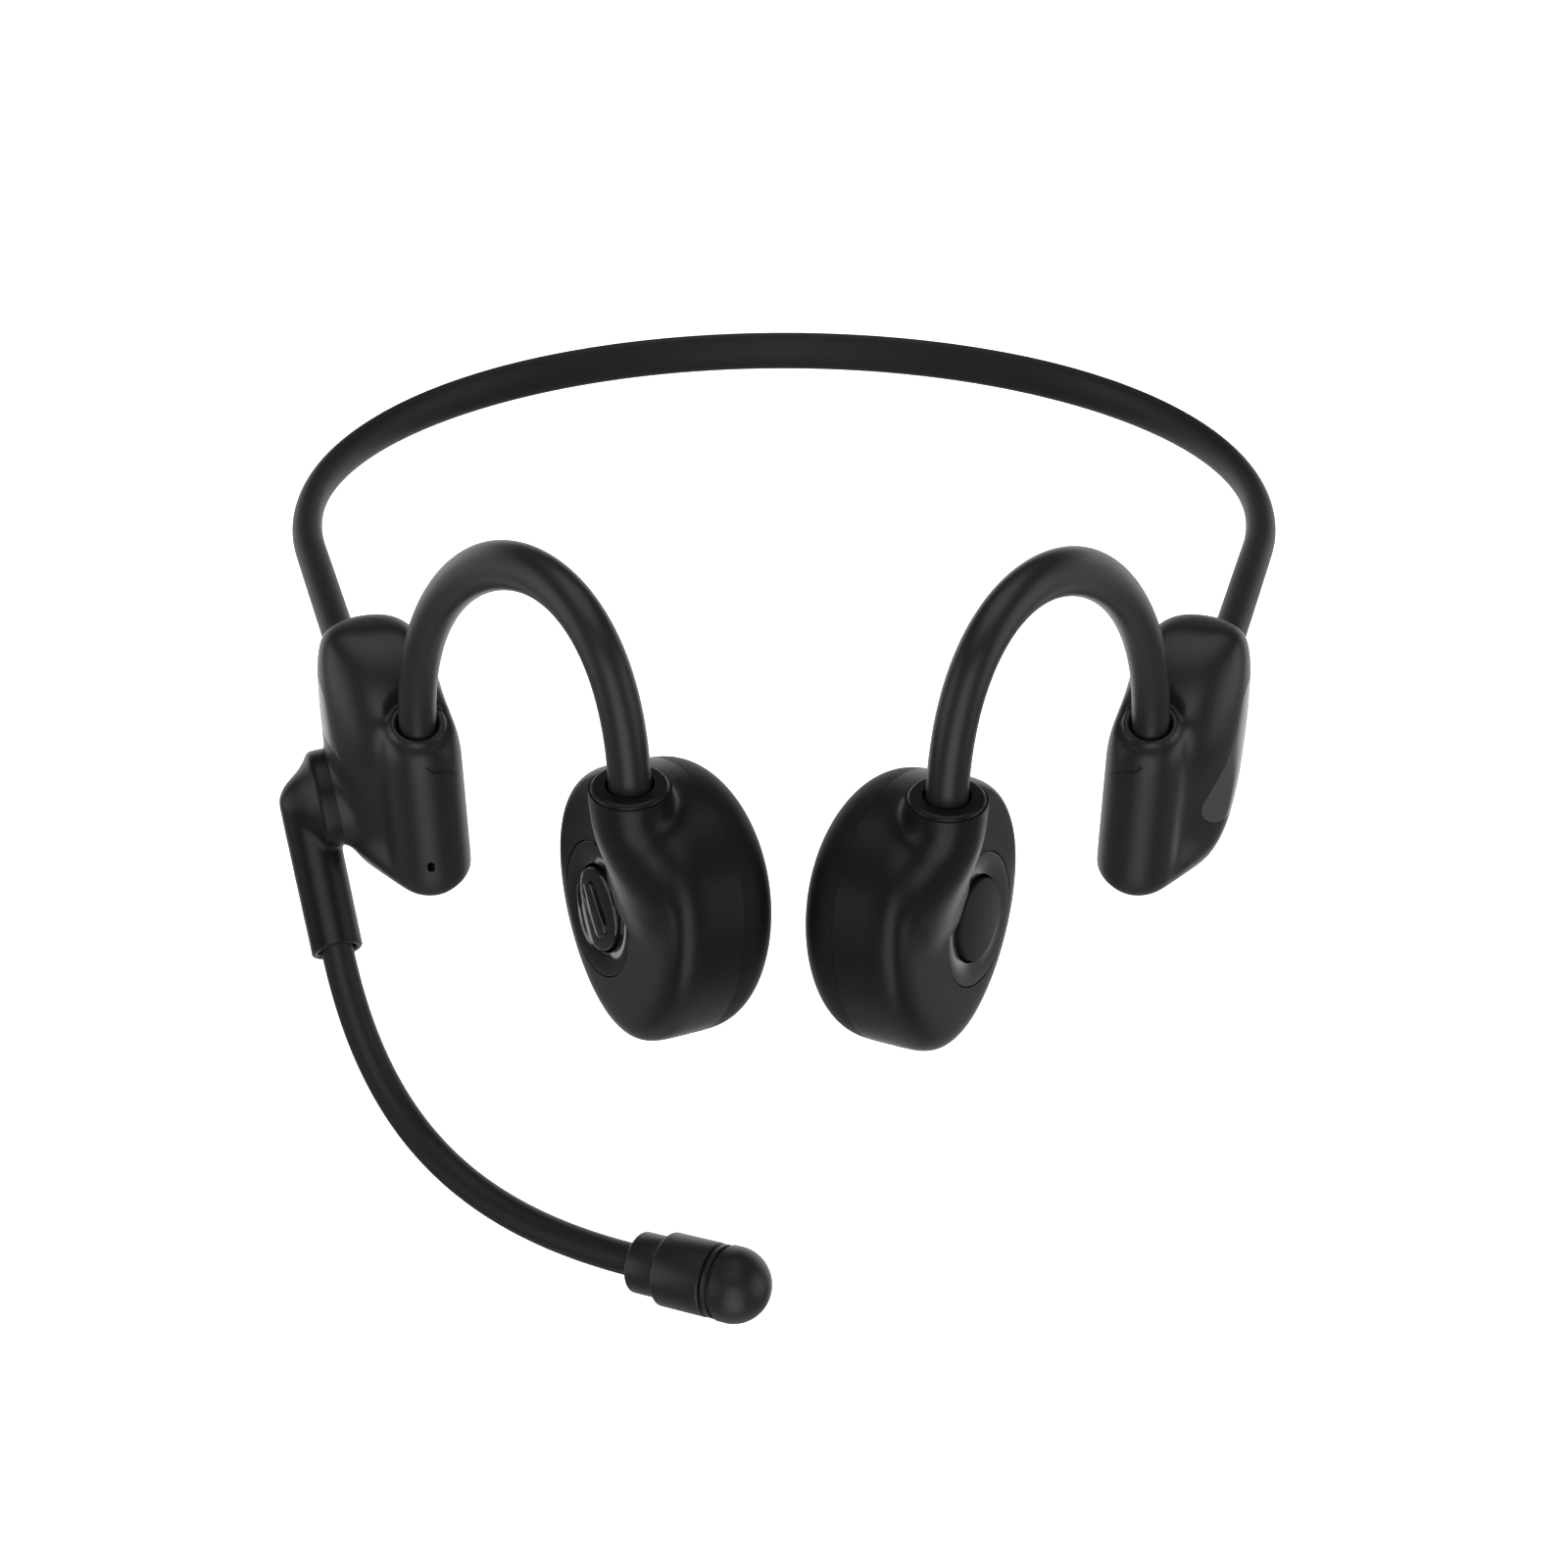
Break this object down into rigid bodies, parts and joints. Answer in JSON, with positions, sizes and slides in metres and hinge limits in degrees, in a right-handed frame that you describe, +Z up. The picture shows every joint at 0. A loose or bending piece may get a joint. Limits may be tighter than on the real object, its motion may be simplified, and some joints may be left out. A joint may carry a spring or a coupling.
{
  "type": "bone conduction headphones",
  "caption": "Black open-ear bone conduction headphones: a neckband with ear pods, ear hooks and cheek pads, and a swivelling boom with a microphone.",
  "frame": {"origin": "midway between the two ear pods, at the level of the ears", "axes": "+X to the wearer's left, +Y back to the nape, +Z up"},
  "size_m": [0.1354, 0.148, 0.1057],
  "materials": {
    "soft_black": "matte silicone skin",
    "cover_black": "soft-touch matte",
    "shell_black": "satin soft-touch coating",
    "gloss_black": "gloss",
    "mesh_black": "matte",
    "steel": "plain",
    "copper": "enamelled copper",
    "board_green": "solder mask",
    "cell_foil": "foil",
    "magnet": "nickel plate",
    "gold": "gold plate"
  },
  "bodies": {
    "headset": {"neckband_sleeve": "soft_black", "neckband_wire": "steel", "neckband_lead": "copper", "right_pod_shell": "shell_black", "right_pod_cover": "shell_black", "right_pod_inlay": "gloss_black", "left_pod_shell": "shell_black", "left_pod_cover": "shell_black", "left_pod_inlay": "gloss_black", "pod_screws": "steel", "main_board": "board_green", "pod_microphone": "steel", "battery": "cell_foil", "charge_socket": "shell_black", "charge_pins": "gold", "volume_switches": "board_green", "right_hook_sleeve": "soft_black", "right_hook_wire": "steel", "right_hook_lead": "copper", "left_hook_sleeve": "soft_black", "left_hook_wire": "steel", "left_hook_lead": "copper", "right_pad_housing": "shell_black", "right_pad_cover": "cover_black", "right_pad_bezel": "gloss_black", "right_button_board": "board_green", "right_yoke": "steel", "right_magnet": "magnet", "right_voice_coil": "copper", "right_spring_plate": "steel", "left_pad_housing": "shell_black", "left_pad_cover": "cover_black", "left_pad_bezel": "gloss_black", "left_button_board": "board_green", "left_yoke": "steel", "left_magnet": "magnet", "left_voice_coil": "copper", "left_spring_plate": "steel", "friction_washer": "steel"},
    "boom": {"boom_arm": "shell_black", "boom_pin": "steel", "boom_nut": "steel", "boom_stem": "soft_black", "boom_wire": "steel", "boom_lead": "copper"},
    "microphone": {"mic_collar": "shell_black", "mic_barrel": "shell_black", "mic_mesh": "mesh_black", "mic_dome": "shell_black", "mic_capsule": "steel", "mic_gasket": "cover_black"},
    "right_button": {"right_pad_button": "gloss_black"},
    "left_button": {"left_pad_button": "gloss_black"},
    "volume_key": {"volume_rocker": "cover_black"}
  },
  "joints": [
    {"name": "boom_swivel", "type": "hinge", "parent": "headset", "child": "boom", "pos_m": [-0.05894, 0.00031, 0.00043], "axis": [-0.9498, -0.3086, -0.0523], "range_deg": [-80, 20]},
    {"name": "stem_bend", "type": "hinge", "parent": "boom", "child": "microphone", "pos_m": [-0.04604, -0.01879, -0.04638], "axis": [0.4787, 0.8672, -0.1374], "range_deg": [-20, 20], "deforming": ["boom_stem", "boom_wire", "boom_lead"]},
    {"name": "right_button_press", "type": "slide", "parent": "headset", "child": "right_button", "axis": [0.8586, 0.4957, -0.1305], "range_m": [0, 0.0005], "stiffness_N_per_m": 1200},
    {"name": "left_button_press", "type": "slide", "parent": "headset", "child": "left_button", "axis": [-0.8586, 0.4957, -0.1305], "range_m": [0, 0.0005], "stiffness_N_per_m": 1200},
    {"name": "volume_rock", "type": "hinge", "parent": "headset", "child": "volume_key", "pos_m": [0.05398, 0.00571, 0.009], "axis": [0.9511, -0.309, 0], "range_deg": [-3, 3], "stiffness_Nm_per_rad": 0.05}
  ]
}
